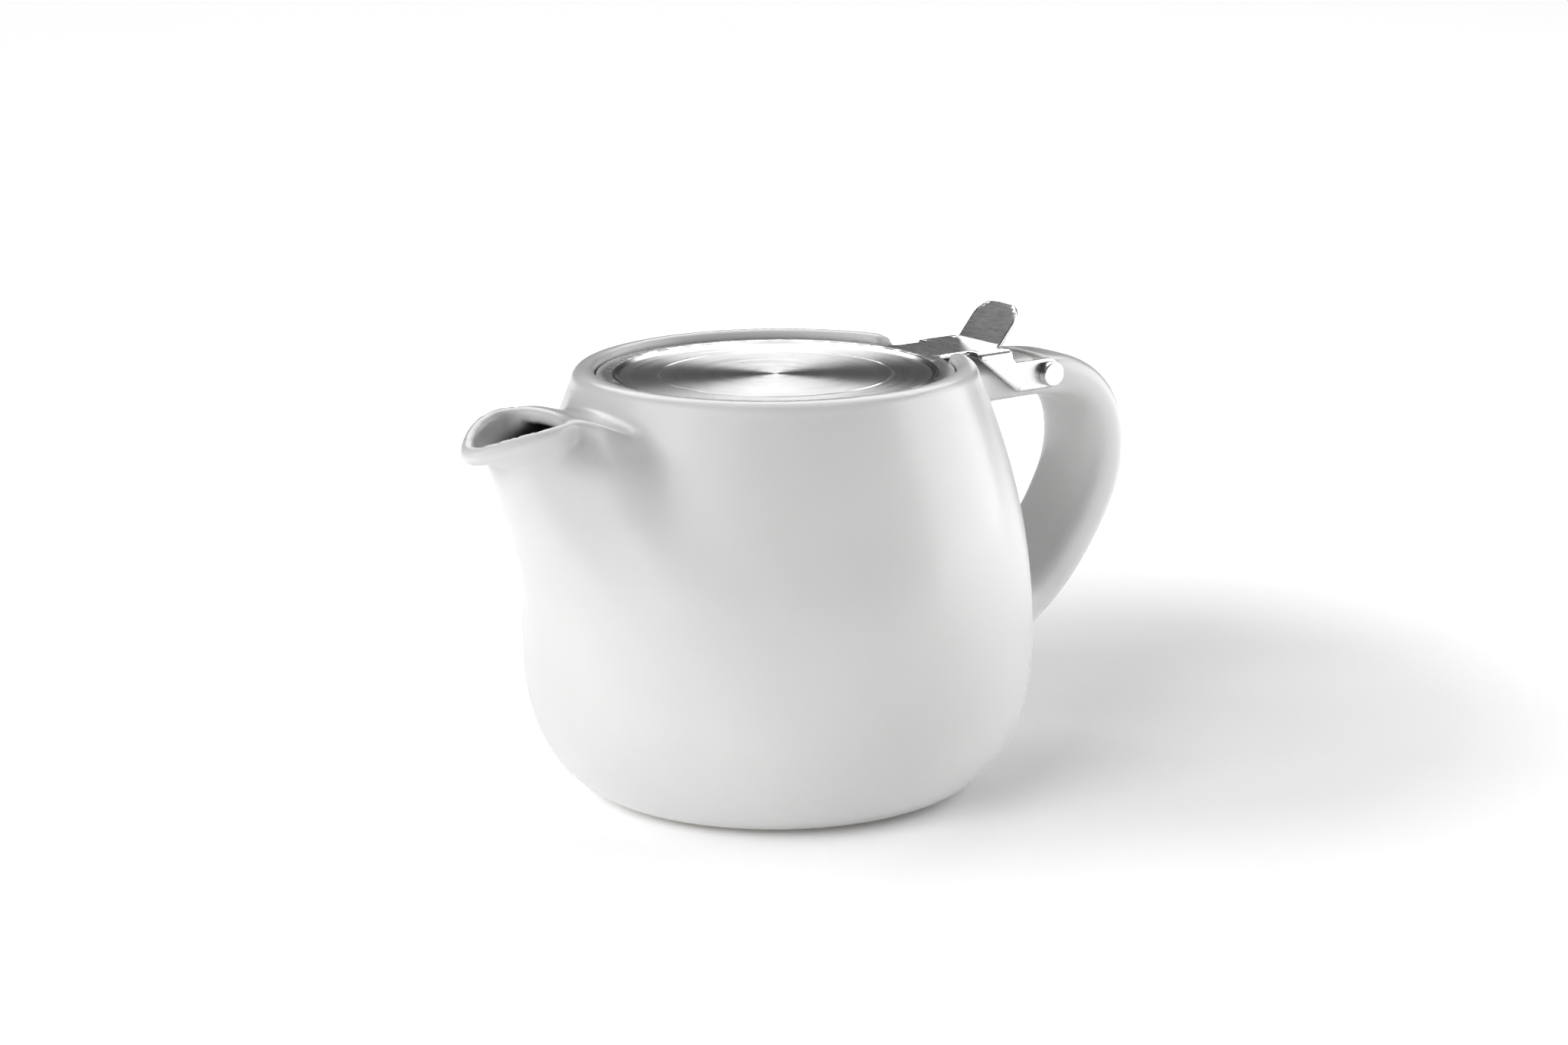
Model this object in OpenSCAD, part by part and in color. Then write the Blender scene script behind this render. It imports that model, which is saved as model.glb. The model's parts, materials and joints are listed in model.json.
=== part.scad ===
// Small ceramic teapot with a hinged steel lid and a lift-out strainer basket.
// Frame: origin at the centre of the foot on the table, +Z up, +X towards the
// handle, -X towards the spout. All sizes are millimetres.
// The pot, spout and handle are three clay castings luted together. The lid is
// one stamped sheet (flange, arm, thumb tab and hinge ears) with a spun top disc
// and a drawn skirt welded to it. It swings on a pin through the handle's arm.
// The basket hangs by its rim on a ledge inside the mouth of the pot.

/* [Pot] */
// Radius of the belly at its widest ring
belly_r = 57.5; // [57:0.1:58]
// Height of the widest ring above the table
belly_z = 36; // [35.5:0.1:36.5]
// Radius of the foot on the table
foot_r = 36.7; // [36:0.1:38]
// How fast the wall draws in above the belly
shoulder_k = 0.00365; // [0.0036:0.00001:0.0037]
// Height of the top of the ceramic rim
rim_z = 96.4; // [96:0.1:96.8]
// Wall thickness of the pot
wall = 4.8; // [4.4:0.1:5]
// Thickness of the floor above the foot ring's hollow
floor_t = 4.3; // [3.8:0.1:5]
// Inner radius of the rim around the lid
mouth_r = 40.4; // [40.3:0.05:40.5]
// Inner radius of the ledge that carries the basket
ledge_r = 38.4; // [38.3:0.05:38.6]
// Half width of the notch in the rim that the lid arm passes through
notch_w = 12.9; // [12.7:0.1:13.2]

/* [Spout] */
// Radius of the spout where its lip begins
spout_tip_r = 9.6; // [9.3:0.1:9.9]
// Half angle of the spout's cone in degrees
spout_half_angle = 20; // [19:0.5:21]
// Slope of the spout's axis below the horizontal in degrees
spout_slope = 51; // [50:0.5:52]
// Wall thickness of the spout
spout_wall = 3.4; // [3:0.1:3.8]
// Radius of the rolled lip's bead
lip_bead_r = 1.9; // [1.7:0.1:2]

/* [Handle] */
// Width of the handle strap
strap_w = 21; // [20.6:0.1:21]
// Height of the hinge arm at the top of the handle
arm_h = 9.4; // [9.2:0.1:9.8]

/* [Hinge] */
// X of the hinge pin's axis
pin_x = 68.5; // [68.4:0.05:68.6]
// Height of the hinge pin's axis
pin_z = 87.8; // [87.7:0.05:87.9]
// Diameter of the hinge pin's shaft
pin_d = 4; // [3.8:0.05:4.1]
// Diameter of the pin's flat heads
head_d = 5.7; // [5.4:0.1:6]
// Thickness of each head
head_t = 2; // [1.6:0.1:2.2]
// Outside diameter of the bushes pressed into the arm
bush_d = 5.6; // [5.4:0.1:5.8]
// Radial running clearance between the pin and the bushes
pin_gap = 0.05; // [0.03:0.01:0.08]

/* [Lid] */
// Thickness of the stamped lid sheet
sheet_t = 1; // [0.9:0.05:1]
// Outer radius of the lid's flange
lid_r = 39.9; // [39.8:0.05:40]
// Height of the flange's top face
lid_z = 94.6; // [94.5:0.05:94.7]
// Radius of the spun top disc
disc_r = 36.1; // [36:0.05:36.1]
// Depth of the top disc below the flange
disc_drop = 0.6; // [0.5:0.05:0.7]
// Half width of the lid's neck
neck_w = 8; // [7.8:0.1:8.4]
// Half width over the two hinge ears
ear_w = 12; // [11.95:0.05:12.1]
// Width of the thumb tab
tab_w = 15; // [14:0.5:15]
// Slope of the thumb tab above the horizontal in degrees
tab_slope = 50; // [48:1:51]
// Depth of the skirt below the lid
skirt_h = 7; // [6:0.5:7.5]

/* [Basket] */
// Outer radius of the strainer wall
basket_r = 34.6; // [34.2:0.1:34.8]
// Height of the strainer's base above the table
basket_z = 30; // [26:1:36]
// Diameter of the strainer holes
hole_d = 2.4; // [2:0.1:2.6]
// Holes around each row of the wall
holes_round = 16; // [12:1:18]
// Rows of holes up the wall
hole_rows = 5; // [4:1:6]

/* [Hidden] */

ceramic = "whitesmoke";
steel = "silver";
dark_steel = "darkgray";
nylon = "ivory";

// heights through the mouth, from the lid's flange down
flange_z = lid_z - sheet_t;
basket_flange_t = 0.7;
ledge_z = flange_z - 0.2 - basket_flange_t;
notch_z = 91.8;
collar_r = 38;
joggle_r = 37.1;
disc_t = 0.8;
seat_top = lid_z - disc_drop - disc_t;
seat_bot = seat_top - sheet_t;
skirt_r = 36.8;
skirt_t = 0.6;

// outer radius of the pot at height z
function lower_r(z) = foot_r + (belly_r - foot_r) * pow(1 - pow(1 - z / belly_z, 2.5), 1 / 1.8);
function upper_r(z) = belly_r - shoulder_k * pow(z - belly_z, 2);
function pot_r(z) = z < belly_z ? lower_r(z) : upper_r(z);

base_z = 12;
rim_ring_z = 84;
outer_zs = [0.5, 1.5, 3, 5, 8, 12, 17, 23, 30, 37, 45, 53, 61, 69, 77, 84, 91];
lip_r0 = mouth_r + 1.3;
lip_r1 = pot_r(93.6);
outer_wall = [for (z = outer_zs) [pot_r(z), z]];
rim_outer = [for (a = [0 : 15 : 90]) [lip_r0 + (lip_r1 - lip_r0) * cos(a), 93.6 + (rim_z - 93.6) * sin(a)]];
rim_inner = [for (a = [0 : 30 : 90]) [mouth_r + 1.2 - 1.2 * sin(a), rim_z - 1.2 + 1.2 * cos(a)]];
inner_zs = [84, 77, 69, 61, 53, 45, 37, 30, 23, 17, 12];
inner_wall = [for (z = inner_zs) [pot_r(z) - wall, z]];
floor_z = floor_t + 1.2;

module pot_outline() {
  polygon(concat([[0, 0], [foot_r, 0]], outer_wall, rim_outer, [[0, rim_z]]));
}

module spout_axis() {
  translate([-68, 0, 86]) rotate([0, 90 + spout_slope, 0]) children();
}

// foot ring, floor and the start of the wall
module pot_base() {
  color(ceramic) rotate_extrude($fn = 96) polygon(concat(
    [[0, 1.2], [32, 1.2], [33.2, 0], [foot_r, 0]], [for (z = outer_zs) if (z <= base_z) [pot_r(z), z]],
    [[pot_r(base_z) - wall, base_z], [44, 8.2], [39, 6.2], [32, floor_z], [0, floor_z]]));
}

// round wall, open above and below
module pot_body() {
  color(ceramic) difference() {
    rotate_extrude($fn = 96) polygon(concat(
      [for (z = outer_zs) if (z >= base_z && z <= rim_ring_z) [pot_r(z), z]], inner_wall));
    // hole through the wall into the spout
    spout_axis() translate([0, 0, 8])
      cylinder(r1 = spout_tip_r - spout_wall + 8 * tan(spout_half_angle), r2 = 17, h = 34, $fn = 48);
  }
}

// rim with the ledge that carries the basket
module pot_rim() {
  color(ceramic) difference() {
    rotate_extrude($fn = 96) polygon(concat(
      [for (z = outer_zs) if (z >= rim_ring_z) [pot_r(z), z]], rim_outer, rim_inner,
      [[mouth_r, ledge_z], [ledge_r, ledge_z], [ledge_r, 90], [pot_r(rim_ring_z) - wall, rim_ring_z]]));
    // notch in the rim for the lid arm
    difference() {
      translate([36, -notch_w, notch_z]) cube([16, 2 * notch_w, 10]);
      translate([0, 0, 80]) cylinder(r = mouth_r, h = 20, $fn = 96);
    }
  }
}

module spout() {
  color(ceramic) difference() {
    union() {
      difference() {
        spout_axis() cylinder(r1 = spout_tip_r, r2 = spout_tip_r + 40 * tan(spout_half_angle), h = 40, $fn = 64);
        rotate_extrude($fn = 96) pot_outline();
      }
      // flared collar and rolled lip of the mouth
      translate([-69.6, 0, 89]) rotate([0, -12, 0]) {
        rotate_extrude($fn = 64) translate([9.2, 0]) circle(r = lip_bead_r, $fn = 24);
        translate([0, 0, -6.4]) cylinder(r1 = 7.6, r2 = 10.6, h = 6.4, $fn = 64);
      }
    }
    // passage
    spout_axis() translate([0, 0, -1])
      cylinder(r1 = spout_tip_r - spout_wall, r2 = spout_tip_r - spout_wall + 43 * tan(spout_half_angle), h = 43, $fn = 48);
    translate([-69.6, 0, 89]) rotate([0, -12, 0]) {
      translate([0, 0, -7]) cylinder(r1 = 5.8, r2 = 7.4, h = 7.2, $fn = 48);
      translate([0, 0, -0.1]) cylinder(r = 7.4, h = 12, $fn = 48);
    }
    // the lip is trimmed level above the opening
    translate([-100, -30, 93.4]) cube([60, 60, 20]);
  }
}

// centre line of the handle seen from the side, with half thickness: [x, z, half thickness]
handle_path = [[40, 86.7, 4.7], [50, 86.7, 4.7], [60, 86.7, 4.7], [70, 86.6, 4.7], [77.5, 85.6, 5], [83.5, 82.3, 5.6],
               [87.2, 76.5, 6.5], [88.7, 68.5, 7], [87.6, 61.5, 7], [85, 55.2, 6.9], [80, 47.6, 6.9],
               [74.2, 40.4, 6.9], [67.5, 34.4, 6.7], [58, 29, 6.4], [46, 24, 6.2]];
function cr(a, b, c, d, t) = 0.5 * (2 * b + (c - a) * t + (2 * a - 5 * b + 4 * c - d) * t * t
                                    + (3 * b - a - 3 * c + d) * t * t * t);
function smooth(p, n) = [for (i = [1 : len(p) - 3]) for (k = [0 : n - 1]) cr(p[i - 1], p[i], p[i + 1], p[i + 2], k / n)];
handle_line = smooth(handle_path, 3);
function tangent(p, i) = let (a = p[max(i - 1, 0)], b = p[min(i + 1, len(p) - 1)], d = [b[0] - a[0], b[1] - a[1]]) d / norm(d);
function side(p, s, inset) = [for (i = [0 : len(p) - 1]) let (t = tangent(p, i)) [p[i][0] - s * t[1] * (p[i][2] - inset), p[i][1] + s * t[0] * (p[i][2] - inset)]];
function reversed(p) = [for (i = [len(p) - 1 : -1 : 0]) p[i]];

module strap(inset, width) {
  rotate([90, 0, 0]) linear_extrude(height = width, center = true)
    polygon(concat(side(handle_line, 1, inset), reversed(side(handle_line, -1, inset))));
}

module handle() {
  color(ceramic) difference() {
    union() {
      strap(0, strap_w - 6.4);
      strap(0.8, strap_w - 2.6);
      strap(1.9, strap_w);
    }
    rotate_extrude($fn = 96) pot_outline();
    translate([pin_x, 0, pin_z]) rotate([90, 0, 0]) cylinder(d = bush_d, h = 40, center = true, $fn = 48);
  }
}

// two flanged bushes line the bore and keep the ears off the clay
module bush() {
  difference() {
    union() {
      cylinder(d = bush_d, h = 8, $fn = 48);
      translate([0, 0, 8 - 0.01]) cylinder(d = bush_d + 1.4, h = 0.01 + 0.4, $fn = 48);
    }
    translate([0, 0, -1]) cylinder(d = pin_d + 2 * pin_gap, h = 12, $fn = 48);
  }
}

module hinge_bushes() {
  color(nylon) translate([pin_x, 0, pin_z]) for (s = [-1, 1])
    rotate([-90 * s, 0, 0]) translate([0, 0, strap_w / 2 - 8]) bush();
}

// outline of one hinge ear seen from the side
ear_pts = concat([[49.3, lid_z - 2.1], [58, lid_z - 2.1], [58, pin_z + 3.4], [pin_x, pin_z + 3.4]],
                 [for (a = [75 : -15 : -75]) [pin_x + 3.4 * cos(a), pin_z + 3.4 * sin(a)]],
                 [[pin_x, pin_z - 3.4], [59.3, pin_z - 3.4]]);

module ear() {
  rotate([90, 0, 0]) linear_extrude(height = sheet_t) difference() {
    polygon(ear_pts);
    translate([pin_x, pin_z]) circle(d = pin_d, $fn = 48);
  }
}

module lid_plate() {
  color(steel) {
    union() {
      // flange, joggle and the seat under the top disc
      rotate_extrude($fn = 96) polygon([[33.4, seat_bot], [joggle_r, seat_bot], [joggle_r, flange_z], [lid_r, flange_z],
                                        [lid_r, lid_z], [disc_r, lid_z], [disc_r, seat_top], [33.4, seat_top]]);
      // neck and wings
      translate([joggle_r, -neck_w, flange_z]) cube([48.5 - joggle_r, 2 * neck_w, sheet_t]);
      translate([48.5, -(ear_w - 2), flange_z]) cube([9.5, 2 * (ear_w - 2), sheet_t]);
      // bends from the wings into the ears
      for (s = [-1, 1]) translate([48.5, s * (ear_w - 2), lid_z - 2]) rotate([90, 0, 90])
        linear_extrude(height = 9.5) intersection() {
          difference() { circle(r = 2, $fn = 48); circle(r = 2 - sheet_t, $fn = 48); }
          translate([s > 0 ? 0 : -3, -0.1]) square([3, 3]);
        }
      translate([0, -ear_w + sheet_t, 0]) ear();
      translate([0, ear_w, 0]) ear();
      // thumb tab, bent up behind the neck
      translate([56, 0, lid_z + 1.5]) rotate([90, 0, 0]) linear_extrude(height = tab_w, center = true)
        intersection() {
          difference() { circle(r = 1.5 + sheet_t, $fn = 48); circle(r = 1.5, $fn = 48); }
          polygon([[0, 0], [-0.3, -4], [4 * cos(tab_slope - 90) + 0, -4.2], [4 * cos(tab_slope - 90), 4 * sin(tab_slope - 90)]]);
        }
      translate([56, 0, lid_z + 1.5]) rotate([0, -tab_slope, 0]) translate([0, 0, -1.5 - sheet_t]) {
        translate([-0.05, -tab_w / 2, 0]) cube([11.2 - tab_w / 2, tab_w, sheet_t]);
        translate([11.2 - tab_w / 2, 0, 0]) cylinder(d = tab_w, h = sheet_t, $fn = 64);
      }
    }
  }
}

module lid_disc() {
  color("gainsboro") rotate_extrude($fn = 96)
    polygon([[0, seat_top], [disc_r, seat_top], [disc_r, lid_z - 0.1], [disc_r - 0.5, lid_z], [disc_r - 1, seat_top + disc_t + 0.1],
             [disc_r - 1.4, seat_top + disc_t], [26.3, seat_top + disc_t], [26, seat_top + disc_t - 0.25],
             [25.7, seat_top + disc_t], [0, seat_top + disc_t]]);
}

module lid_skirt() {
  color(dark_steel) rotate_extrude($fn = 96)
    polygon([[0, seat_bot - skirt_t], [skirt_r - skirt_t, seat_bot - skirt_t], [skirt_r - skirt_t, seat_bot - skirt_h],
             [skirt_r, seat_bot - skirt_h], [skirt_r, seat_bot], [0, seat_bot]]);
}

module hinge_pin() {
  color(steel) translate([pin_x, -ear_w, pin_z]) rotate([-90, 0, 0]) {
    cylinder(d = pin_d, h = 2 * ear_w + 1.4, $fn = 48);
    translate([0, 0, -head_t]) cylinder(d = head_d, h = head_t, $fn = 48);
  }
}

// pressed onto the far end of the pin
module pin_cap() {
  color(steel) translate([pin_x, ear_w, pin_z]) rotate([-90, 0, 0]) difference() {
    cylinder(d = head_d, h = head_t, $fn = 48);
    translate([0, 0, -1]) cylinder(d = pin_d, h = 1 + 1.4, $fn = 48);
  }
}

module basket_rim() {
  color(dark_steel) rotate_extrude($fn = 96)
    polygon([[collar_r - 0.6, 83], [collar_r - 0.6, ledge_z + basket_flange_t], [mouth_r - 0.3, ledge_z + basket_flange_t],
             [mouth_r - 0.3, ledge_z], [collar_r, ledge_z], [collar_r, 83], [collar_r, 82.4], [basket_r - 0.5, 82.4], [basket_r - 0.5, 83]]);
}

module basket_wall() {
  color(dark_steel) difference() {
    translate([0, 0, basket_z + 0.6]) difference() {
      cylinder(r = basket_r, h = 82.4 - basket_z - 0.6, $fn = 96);
      translate([0, 0, -1]) cylinder(r = basket_r - 0.5, h = 80, $fn = 96);
    }
    for (j = [0 : hole_rows - 1]) for (i = [0 : holes_round - 1])
      rotate([0, 0, (i + (j % 2) / 2) * 360 / holes_round]) translate([basket_r, 0, basket_z + 6 + j * (70 - basket_z) / hole_rows])
        rotate([0, 90, 0]) cylinder(d = hole_d, h = 6, center = true, $fn = 16);
  }
}

module basket_base() {
  color(dark_steel) translate([0, 0, basket_z]) difference() {
    cylinder(r = basket_r, h = 0.6, $fn = 96);
    for (k = [1 : 3]) for (i = [0 : 6 * k - 1])
      rotate([0, 0, i * 60 / k]) translate([k * 9, 0, -1]) cylinder(d = hole_d, h = 3, $fn = 16);
  }
}

pot_base();
pot_body();
pot_rim();
spout();
handle();
hinge_bushes();
lid_plate();
lid_disc();
lid_skirt();
hinge_pin();
pin_cap();
basket_rim();
basket_wall();
basket_base();
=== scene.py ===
import json
import math
import bpy
import bmesh
import numpy as np
from mathutils import Matrix, Vector, noise
from mathutils.geometry import delaunay_2d_cdt


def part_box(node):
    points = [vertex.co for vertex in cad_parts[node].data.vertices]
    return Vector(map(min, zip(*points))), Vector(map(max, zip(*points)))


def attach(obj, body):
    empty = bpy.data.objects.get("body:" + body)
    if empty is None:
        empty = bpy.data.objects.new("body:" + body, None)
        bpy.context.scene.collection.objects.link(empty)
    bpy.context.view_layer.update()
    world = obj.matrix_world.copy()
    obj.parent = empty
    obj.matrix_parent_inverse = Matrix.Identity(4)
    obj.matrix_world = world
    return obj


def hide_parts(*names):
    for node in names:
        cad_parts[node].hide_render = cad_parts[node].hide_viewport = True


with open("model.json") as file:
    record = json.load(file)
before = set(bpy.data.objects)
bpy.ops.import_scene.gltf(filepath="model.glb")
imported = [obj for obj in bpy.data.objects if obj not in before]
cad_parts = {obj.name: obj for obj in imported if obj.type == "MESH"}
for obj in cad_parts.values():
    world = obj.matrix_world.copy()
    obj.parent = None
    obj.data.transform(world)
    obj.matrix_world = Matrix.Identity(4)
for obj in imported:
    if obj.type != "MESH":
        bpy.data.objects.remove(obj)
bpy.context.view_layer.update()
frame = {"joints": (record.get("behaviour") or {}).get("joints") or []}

MM = 0.001

# ---------------------------------------------------------------- the frame's own numbers, in mm
def cad(node):
    lo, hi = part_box(node)
    return np.array(lo) / MM, np.array(hi) / MM

plate_lo, plate_hi = cad("lid_plate")
pot_lo, pot_hi = cad("pot_rim")
disc_lo, disc_hi = cad("lid_disc")
skirt_lo, skirt_hi = cad("lid_skirt")
rim_lo, rim_hi = cad("basket_rim")
wall_lo, wall_hi = cad("basket_wall")
base_lo, base_hi = cad("basket_base")
pin_lo, pin_hi = cad("hinge_pin")
cap_lo, cap_hi = cad("pin_cap")
hinge = [j for j in frame["joints"] if j["name"] == "lid_hinge"][0]
PIN_X, PIN_Z = hinge["pos_m"][0] / MM, hinge["pos_m"][2] / MM
LID_Z = disc_hi[2]                     # top face of the flange
RIM_Z = pot_hi[2]                      # top of the ceramic rim
LEDGE_Z = rim_hi[2] - 0.7              # ledge that carries the basket
BELLY_R = 57.5

# ---------------------------------------------------------------- mesh helpers
def new_mesh(name, verts, faces, smooth=True, sharp_deg=None):
    me = bpy.data.meshes.new(name)
    me.from_pydata([tuple(v) for v in np.asarray(verts, float) * MM], [], [tuple(int(i) for i in f) for f in faces])
    me.validate()
    me.update()
    if smooth:
        me.polygons.foreach_set("use_smooth", [True] * len(me.polygons))
    ob = bpy.data.objects.new(name, me)
    bpy.context.scene.collection.objects.link(ob)
    if sharp_deg is not None:
        bm = bmesh.new()
        bm.from_mesh(me)
        lim = math.radians(sharp_deg)
        for e in bm.edges:
            if len(e.link_faces) == 2 and e.calc_face_angle(0) > lim:
                e.smooth = False
        bm.to_mesh(me)
        bm.free()
    return ob


def clean(ob, dist=1e-7):
    bm = bmesh.new()
    bm.from_mesh(ob.data)
    bmesh.ops.remove_doubles(bm, verts=bm.verts, dist=dist)
    bmesh.ops.dissolve_degenerate(bm, edges=bm.edges, dist=dist)
    bmesh.ops.recalc_face_normals(bm, faces=bm.faces)
    bm.to_mesh(ob.data)
    bm.free()
    ob.data.polygons.foreach_set("use_smooth", [True] * len(ob.data.polygons))
    ob.data.update()
    return ob


def fillet(points, closed=True, seg=5):
    """points: (x, y, radius). Each corner is rounded with its own radius."""
    out = []
    n = len(points)
    for i, (x, y, r) in enumerate(points):
        p = np.array([x, y], float)
        if r <= 0 or (not closed and i in (0, n - 1)):
            out.append(p)
            continue
        a = np.array(points[i - 1][:2], float)
        b = np.array(points[(i + 1) % n][:2], float)
        u, v = a - p, b - p
        lu, lv = np.linalg.norm(u), np.linalg.norm(v)
        u, v = u / lu, v / lv
        ang = math.acos(max(-1, min(1, float(u @ v))))
        if ang > math.pi - 0.02:
            out.append(p)
            continue
        t = min(r / math.tan(ang / 2), 0.48 * lu, 0.48 * lv)
        r = t * math.tan(ang / 2)
        c = p + (u + v) / np.linalg.norm(u + v) * (r / math.sin(ang / 2))
        s, e = p + u * t, p + v * t
        a0 = math.atan2(*(s - c)[::-1])
        a1 = math.atan2(*(e - c)[::-1])
        d = (a1 - a0 + math.pi) % (2 * math.pi) - math.pi
        for k in range(seg + 1):
            q = a0 + d * k / seg
            out.append(c + r * np.array([math.cos(q), math.sin(q)]))
    return np.array(out)


def lathe(name, profile, seg=192, axis="Z", origin=(0, 0, 0), closed=True):
    """Turns a profile of (radius, height) about an axis. Points at radius 0 become poles."""
    prof = np.asarray(profile, float)
    n = len(prof)
    verts, rings = [], []
    for r, h in prof:
        if r < 1e-6:
            rings.append([len(verts)])
            verts.append((0, 0, h))
        else:
            rings.append(list(range(len(verts), len(verts) + seg)))
            for k in range(seg):
                a = 2 * math.pi * k / seg
                verts.append((r * math.cos(a), r * math.sin(a), h))
    faces = []
    for i in range(n if closed else n - 1):
        A, B = rings[i], rings[(i + 1) % n]
        if len(A) == 1 and len(B) == 1:
            continue
        for k in range(seg):
            k2 = (k + 1) % seg
            if len(A) == 1:
                faces.append((A[0], B[k2], B[k]))
            elif len(B) == 1:
                faces.append((A[k], A[k2], B[0]))
            else:
                faces.append((A[k], A[k2], B[k2], B[k]))
    v = np.array(verts, float)
    if axis == "Y":
        v = v[:, [0, 2, 1]]
    v = v + np.array(origin, float)
    ob = new_mesh(name, v, faces)
    return clean(ob)


# ---------------------------------------------------------------- ceramic: one continuous glazed form
def lower_r(z):
    t = np.clip(z / 36.0, 0, 1)
    return 36.7 + 20.8 * np.power(1 - np.power(1 - t, 2.5), 1 / 1.8)


def pot_r(z):
    z = np.asarray(z, float)
    return np.where(z < 36, lower_r(z), 57.5 - 0.00365 * (z - 36) ** 2)


def dense(poly, step=0.35):
    out = []
    for i in range(len(poly)):
        a, b = poly[i], poly[(i + 1) % len(poly)]
        k = max(1, int(np.linalg.norm(b - a) / step))
        for j in range(k):
            out.append(a + (b - a) * j / k)
    return np.array(out)


def sdf_table(poly, lo, hi, step):
    """Signed distance to a closed polygon on a grid, negative inside."""
    xs = np.arange(lo[0], hi[0] + step, step)
    ys = np.arange(lo[1], hi[1] + step, step)
    X, Y = np.meshgrid(xs, ys, indexing="ij")
    P = np.c_[X.ravel(), Y.ravel()]
    best = np.full(len(P), 1e9)
    inside = np.zeros(len(P), bool)
    n = len(poly)
    for i in range(n):
        a, b = poly[i], poly[(i + 1) % n]
        d = b - a
        L = float(d @ d)
        if L < 1e-12:
            continue
        t = np.clip(((P - a) @ d) / L, 0, 1)
        q = P - a - t[:, None] * d
        best = np.minimum(best, q[:, 0] ** 2 + q[:, 1] ** 2)
        if a[1] != b[1]:
            c = (a[1] > P[:, 1]) != (b[1] > P[:, 1])
            x = (b[0] - a[0]) * (P[:, 1] - a[1]) / (b[1] - a[1]) + a[0]
            inside ^= c & (P[:, 0] < x)
    d = np.sqrt(best)
    d[inside] *= -1
    return dict(lo=np.array(lo, float), step=step, g=d.reshape(X.shape))


def lookup(tab, x, y):
    g = tab["g"]
    u = np.clip((x - tab["lo"][0]) / tab["step"], 0, g.shape[0] - 1.001)
    v = np.clip((y - tab["lo"][1]) / tab["step"], 0, g.shape[1] - 1.001)
    i, j = u.astype(int), v.astype(int)
    fu, fv = u - i, v - j
    return (g[i, j] * (1 - fu) * (1 - fv) + g[i + 1, j] * fu * (1 - fv)
            + g[i, j + 1] * (1 - fu) * fv + g[i + 1, j + 1] * fu * fv)


def smin(a, b, k):
    h = np.maximum(k - np.abs(a - b), 0) / k
    return np.minimum(a, b) - h * h * h * k / 6


def smax(a, b, k):
    return -smin(-a, -b, k)


zs = np.r_[1.2, 2, 3, 4, 5, 6, 7, 8, np.arange(9.5, 93.6, 1.5)]
LIP_R1 = float(pot_r(93.6))
outer = [(0, 1.3, 0), (31.5, 1.3, 1.2), (33.0, 0, 0.7), (36.9, 0, 1.0)] + [(float(pot_r(z)), float(z), 0) for z in zs]
outer += [(41.8 + (LIP_R1 - 41.8) * math.cos(a), 93.6 + (RIM_Z - 93.6) * math.sin(a), 0) for a in np.radians(np.arange(0, 91, 6))]
outer += [(0, RIM_Z, 0)]
OUT_POLY = fillet(outer)
zi = np.arange(84, 11.9, -2.0)
inner = [(0, 115, 0), (44, 115, 0), (43.2, RIM_Z + 0.02, 0)]
inner += [(41.8 - 1.4 * math.sin(a), RIM_Z - 1.4 + 1.4 * math.cos(a), 0) for a in np.radians(np.arange(0, 91, 10))]
inner += [(40.4, LEDGE_Z, 0.5), (38.4, LEDGE_Z, 0.6), (38.4, 90.2, 1.5)]
inner += [(float(pot_r(z)) - 4.8, float(z), 0) for z in zi]
inner += [(44.3, 8.2, 4), (38, 6.0, 6), (28, 5.5, 0), (0, 5.5, 0)]
IN_POLY = fillet(inner)
TAB_OUT = sdf_table(OUT_POLY, (0, -12), (120, 112), 0.3)
TAB_IN = sdf_table(IN_POLY, (0, -12), (120, 112), 0.3)

# spout: a rounded wedge that widens into the wall, with a flared egg-shaped lip
WZ = np.array([20, 36, 44, 50, 56, 62, 68.5, 75, 80.6, 83.3, 85.6, 88, 96.])
W_R = np.array([30, 30, 30, 29.5, 27.5, 23.5, 18.5, 14.3, 12.0, 11.2, 10.7, 10.4, 10.2])
W_A = np.radians([45, 45, 45, 45, 46, 45, 44.5, 41.5, 37.5, 33.5, 26, 16, 8.])
_zd = np.linspace(20, 96, 900)


def _soft(y, width=3.0):
    v = np.interp(_zd, WZ, y)
    k = int(width / (_zd[1] - _zd[0]))
    ker = np.hanning(2 * k + 3)
    ker /= ker.sum()
    return np.convolve(np.pad(v, k + 1, mode="edge"), ker, mode="valid")


WR, WA = _soft(W_R), _soft(W_A)
LIP_X, LIP_A, LIP_W, LIP_E = -68.3, 10.5, 10.9, -0.36
LIP_Z, LIP_S1, LIP_S2 = 92.2, 0.25, -0.0188


def capsule(px, py, r1, r2, h):
    b = (r1 - r2) / h
    a = np.sqrt(np.maximum(1 - b * b, 1e-6))
    py = np.abs(py)
    k = -b * py + a * px
    d0 = np.hypot(px, py) - r1
    d1 = np.hypot(px - h, py) - r2
    d2 = py * a + px * b - r1
    return np.where(k < 0, d0, np.where(k > a * h, d1, d2))


def lip_curve(off, n=180):
    t = np.linspace(0, 2 * np.pi, n + 1)[:-1]
    x = LIP_X - LIP_A * np.cos(t)
    y = LIP_W * np.sin(t) * (1 + LIP_E * np.cos(t))
    return inset(np.c_[x, y], -off)


def inset(poly, e):
    """Moves each point of a closed polygon along its normal; e > 0 goes inwards."""
    a, b = np.roll(poly, 1, 0), np.roll(poly, -1, 0)
    t = b - a
    t /= np.linalg.norm(t, axis=1)[:, None]
    n = np.c_[t[:, 1], -t[:, 0]]
    area = 0.5 * np.sum(poly[:, 0] * np.roll(poly[:, 1], -1) - np.roll(poly[:, 0], -1) * poly[:, 1])
    return poly + n * e * (1 if area < 0 else -1)


TAB_LIP = sdf_table(lip_curve(1.45), (-100, -40), (0, 40), 0.5)


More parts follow.
